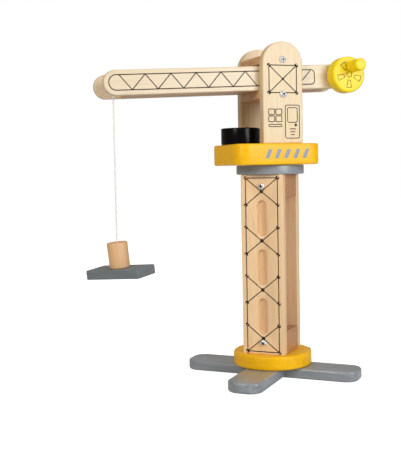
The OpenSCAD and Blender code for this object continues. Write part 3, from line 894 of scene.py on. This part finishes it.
# %% Stripes on the platform
STRIPE_WIDTH, STRIPE_PITCH, STRIPE_SLANT = 5.4 * MM, 12.85 * MM, 5 * MM
STRIPE_LOW, STRIPE_HIGH, STRIPE_FIRST = 287.3 * MM, 299 * MM, -23.5 * MM
stripes = bmesh.new()
for k in range(5):
    left = STRIPE_FIRST + k * STRIPE_PITCH
    lower_left = left - STRIPE_SLANT
    spot(stripes, [(lower_left, STRIPE_LOW), (lower_left + STRIPE_WIDTH, STRIPE_LOW),
                   (left + STRIPE_WIDTH, STRIPE_HIGH), (left, STRIPE_HIGH)])
platform_front = Matrix.Translation((0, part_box("platform")[0].y, 0)) @ facing_front
printed("platform_stripes_print", stripes, platform_front, stripe_ink, "upper_works")
print("five stripes drawn")

# %% [markdown]
# A ring and five wedges stand for the wheel's hub and spokes. They are printed in an ink only a
# little darker than the paint, and the peg covers part of one wedge.

# %% Hub ring and spokes on the wheel
wheel_print = bmesh.new()
WHEEL_LINE = 0.9 * MM
HUB_RING, SPOKES, FIRST_SPOKE = 3.6 * MM, 5, 266
ribbon(wheel_print, disc(HUB_RING, 40), WHEEL_LINE, closed=True)
SPOKE_INNER, SPOKE_OUTER = 7.5 * MM, 16.5 * MM
wedge = [(SPOKE_INNER, -1.7 * MM), (SPOKE_OUTER, -3.6 * MM), (SPOKE_OUTER + 0.6 * MM, 0),
         (SPOKE_OUTER, 3.6 * MM), (SPOKE_INNER, 1.7 * MM)]
for k in range(SPOKES):
    turn = math.radians(FIRST_SPOKE + 360 / SPOKES * k)
    ribbon(wheel_print, turned(wedge, turn), WHEEL_LINE, closed=True)
wheel_face = wheel_place @ Matrix.Translation((0, 0, WHEEL_THICKNESS))
printed("winch_wheel_print", wheel_print, wheel_face, olive_ink, "winch")
print("wheel print drawn")

# %% [markdown]
# ## Screws
# Pan-head screws hold the panels and the uprights. A head is a low dome, skinned from a few
# rings, with a cross cut into it. All heads on one part of the crane make one piece.

# %% Screw heads
HEAD_RADIUS, HEAD_HEIGHT = 4.4 * MM, 2.6 * MM
CROSS_LENGTH, CROSS_WIDTH = 5.4 * MM, 1.5 * MM
HEAD_TURNS = (38, 20, 5, 70)


def pan_head():
    dome = [(-2 * MM, 2.4 * MM), (-2 * MM, 2.35 * MM), (0, 2.3 * MM), (0, 0.6 * MM),
            (0.35 * MM, 0), (0.8 * MM, 0.02 * MM), (1.2 * MM, 0.15 * MM), (1.8 * MM, 0.6 * MM),
            (2.2 * MM, 1.3 * MM), (2.45 * MM, 2.1 * MM), (HEAD_HEIGHT, 3.2 * MM)]
    return solid_from_steps("pan_head", disc(HEAD_RADIUS, 48), dome)


def cross_tool(turn):
    """One arm of the cross, whose walls are dark."""
    outline = turned(rounded_rectangle(CROSS_LENGTH, CROSS_WIDTH, 0.3 * MM, 2), turn)
    depths = [(0.8 * MM, 0.2 * MM), (HEAD_HEIGHT + 1 * MM, -0.1 * MM)]
    data = solid_from_steps("cross", outline, depths)
    data.materials.append(screw_steel)
    data.materials.append(recess_dark)
    for polygon in data.polygons:
        polygon.material_index = 1
    return data


def screw_heads(name, places, body, node):
    """One piece with a head at each place; every head is turned its own way."""
    joined = bmesh.new()
    for k, place in enumerate(places):
        head = put("head", pan_head(), Matrix.Identity(4), screw_steel, body, "screw_steel")
        head.data.materials.append(recess_dark)
        turn = math.radians(HEAD_TURNS[k % len(HEAD_TURNS)])
        cut(head, [cross_tool(turn), cross_tool(turn + math.pi / 2)])
        data = head.data
        data.transform(place)
        joined.from_mesh(data)
        bpy.data.objects.remove(head)
    data = bpy.data.meshes.new(name)
    joined.to_mesh(data)
    joined.free()
    data.materials.append(screw_steel)
    data.materials.append(recess_dark)
    return put(name, data, Matrix.Identity(4), screw_steel, body, "screw_steel", node)


rear_side = Matrix.Rotation(math.pi, 4, "Z")
tower_screw_heights = [tower_low + BLOCK_HEIGHT / 2, tower_high - BLOCK_HEIGHT / 2]
screw_heads("tower_screw_heads",
            [in_tower @ side @ Matrix.Translation((0, -TOWER_DEPTH / 2, z)) @ facing_front
             for z in tower_screw_heights for side in (Matrix.Identity(4), rear_side)],
            "base_and_tower", "tower_screws")
upright_screw_heights = [middle("block_below_jib").z, middle("block_above_jib").z]
screw_heads("upright_screw_heads",
            [side @ Matrix.Translation((0, upright_front_face, z)) @ facing_front
             for z in upright_screw_heights for side in (Matrix.Identity(4), rear_side)],
            "upper_works", "upright_screws")
print("screws at", [round(z * 1000, 1) for z in tower_screw_heights + upright_screw_heights])

# %% [markdown]
# ## String, magnet holder and block
# The string hangs straight from the tip dowel to a turned wooden holder with a magnet in its
# foot, and the magnet holds a grey block by a steel disc let into its top.

# %% Magnet holder and block
string_low, string_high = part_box("string_fall")
hang_x, hang_y = middle("string_fall").x, middle("string_fall").y
HOLDER_RADIUS, HOLDER_HEIGHT = 13 * MM, 32 * MM
HOOK_LEAN = math.radians(5.7)
on_string = (Matrix.Translation((hang_x, hang_y, string_low.z - 0.1 * MM))
             @ Matrix.Rotation(-HOOK_LEAN, 4, "Y") @ Matrix.Translation((0, 0, -HOLDER_HEIGHT)))
holder = board("magnet_holder_wood", disc(HOLDER_RADIUS, 64), HOLDER_HEIGHT, 1 * MM, on_string,
               holder_along_z, "magnet_hook", "tan_wood", "magnet_holder")
MAGNET_RADIUS, MAGNET_THICKNESS = 9.02 * MM, 5 * MM
cut(holder, [solid_from_steps("seat", disc(MAGNET_RADIUS, 64),
                              [(-MAGNET_THICKNESS, 0), (MAGNET_THICKNESS, 0)])])
LOAD_LENGTH, LOAD_WIDTH, LOAD_THICKNESS = 80 * MM, 39 * MM, 12 * MM
LOAD_TURN = math.radians(-49)
under_magnet = (on_string @ Matrix.Translation((0, 0, -LOAD_THICKNESS))
                @ Matrix.Rotation(LOAD_TURN, 4, "Z"))
load = board("load_block_painted", rounded_rectangle(LOAD_LENGTH, LOAD_WIDTH, 2 * MM, 5),
             LOAD_THICKNESS - 2 * HAIR, 1.2 * MM, under_magnet, block_grey,
             "load", "block_grey_paint", "load_block")
STEEL_DISC_RADIUS, STEEL_DISC_DEPTH = 6.02 * MM, 2 * MM
cut(load, [solid_from_steps("seat", disc(STEEL_DISC_RADIUS, 48),
                            [(LOAD_THICKNESS - STEEL_DISC_DEPTH, 0), (2 * LOAD_THICKNESS, 0)])])
print("the holder's top hangs at", round(string_low.z, 3))

# %% [markdown]
# A string is a thin tube on a path. Its rings must not twist where the path bends, so each ring's
# first direction is carried over from the one before and only tilted to stay square.

# %% Tubes of string
STRING_RADIUS, STRING_SIDES = 0.8 * MM, 12


def tube(name, path):
    """A round tube along the path, whose rings stay square to it and don't twist."""
    points = [Vector(p) for p in path]
    mesh = bmesh.new()
    rings = []
    side = None
    for k, here in enumerate(points):
        ahead = (points[min(k + 1, len(points) - 1)] - points[max(k - 1, 0)]).normalized()
        if side is None:
            side = ahead.orthogonal().normalized()
        side = (side - ahead * side.dot(ahead)).normalized()
        other = ahead.cross(side)
        ring = []
        for j in range(STRING_SIDES):
            around = 2 * math.pi * j / STRING_SIDES
            outwards = side * math.cos(around) + other * math.sin(around)
            ring.append(mesh.verts.new(here + STRING_RADIUS * outwards))
        rings.append(ring)
    for one, two in zip(rings, rings[1:]):
        for j in range(STRING_SIDES):
            after = (j + 1) % STRING_SIDES
            mesh.faces.new((one[j], one[after], two[after], two[j]))
    mesh.faces.new(list(reversed(rings[0])))
    mesh.faces.new(rings[-1])
    bmesh.ops.recalc_face_normals(mesh, faces=mesh.faces)
    data = bpy.data.meshes.new(name)
    mesh.to_mesh(data)
    mesh.free()
    return data


def along(points, step):
    """Extra points on the straight stretches, so that none is longer than step."""
    spread = [Vector(points[0])]
    for point in points[1:]:
        start, gap = spread[-1].copy(), Vector(point) - spread[-1]
        pieces = max(1, math.ceil(gap.length / step))
        spread += [start + gap * k / pieces for k in range(1, pieces + 1)]
    return spread


def path_length(path):
    return sum((Vector(b) - Vector(a)).length for a, b in zip(path, path[1:]))


print("a string is", round(2 * STRING_RADIUS * 1000, 1), "mm thick")

# %% [markdown]
# The string runs from the tip dowel down to the magnet holder. Pulled taut by the block, it is a
# straight line.

# %% Hanging string
hang_path = along([(hang_x, hang_y, string_high.z), (hang_x, hang_y, string_low.z)], 9 * MM)
hang_data = tube("hanging_string", hang_path)
hang_data.materials.append(string_cotton)
smooth(hang_data)
hanging_string = bpy.data.objects.new("hanging_string", hang_data)
bpy.context.scene.collection.objects.link(hanging_string)
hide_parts("string_fall")
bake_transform(hanging_string)
print("the string hangs", round(path_length(hang_path), 4), "m")

# %% [markdown]
# Inside the jib the string runs straight from the winch to the dowel and bends over it. On the
# axle it lies in a coil, one turn beside the other.

# %% String inside the jib and on the winch
AXLE_RADIUS, DOWEL_RADIUS, STRING_GAP = 5 * MM, 4 * MM, 0.3 * MM
DOWEL_X, DOWEL_Z = -(JIB_REACH - 24 * MM), 5.2 * MM
over_axle = AXLE_RADIUS + 3 * STRING_RADIUS + STRING_GAP
over_dowel = DOWEL_RADIUS + STRING_GAP + STRING_RADIUS
route = [(WINCH_DISTANCE, 0, over_axle), (WINCH_DISTANCE - 90 * MM, 0, over_axle + 0.3 * MM),
         (DOWEL_X + 105 * MM, 0, DOWEL_Z + over_dowel - 0.2 * MM)]
WRAP_STEPS = 8
for k in range(WRAP_STEPS + 1):
    around = math.radians(90) * k / WRAP_STEPS
    route.append((DOWEL_X - over_dowel * math.sin(around), 0,
                  DOWEL_Z + over_dowel * math.cos(around)))
run_path = [in_jib @ p for p in along(route, 14 * MM)]
string_run = put("string_inside_jib", tube("string_inside_jib", run_path), Matrix.Identity(4),
                 string_cotton, "upper_works", "string", "string_run")
COIL_TURNS, COIL_STEPS, COIL_HALF = 7.5, 24, 6.1 * MM
coil_radius = AXLE_RADIUS + STRING_RADIUS
coil_count = int(COIL_TURNS * COIL_STEPS)
coil_path = []
for k in range(coil_count + 1):
    around = 2 * math.pi * k / COIL_STEPS
    coil_path.append((coil_radius * math.sin(around), COIL_HALF * (2 * k / coil_count - 1),
                      coil_radius * math.cos(around)))
put("string_on_winch", tube("string_on_winch", coil_path),
    in_jib @ Matrix.Translation((WINCH_DISTANCE, 0, 0)), string_cotton,
    "winch", "string", "string_winding")
print("string inside the jib:", round(path_length(run_path), 3), "m; on the winch:",
      round(path_length(coil_path), 3), "m")

# %% [markdown]
# ## Pieces that keep the model's shape
# Dowels, washers and the rest are already right, so they only get a material.

# %% Materials on the remaining pieces
KEPT = {"winch_axle": dowel_along_y, "tip_dowel": dowel_along_y, "string_knot": string_cotton,
        "magnet": magnet_steel, "load_plate": screw_steel, "pivot_bolt": screw_steel,
        "pivot_washer": screw_steel, "base_screws": screw_steel}
for name, material in KEPT.items():
    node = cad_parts[name]
    node.data.materials.clear()
    node.data.materials.append(material)
print("kept:", len(KEPT))
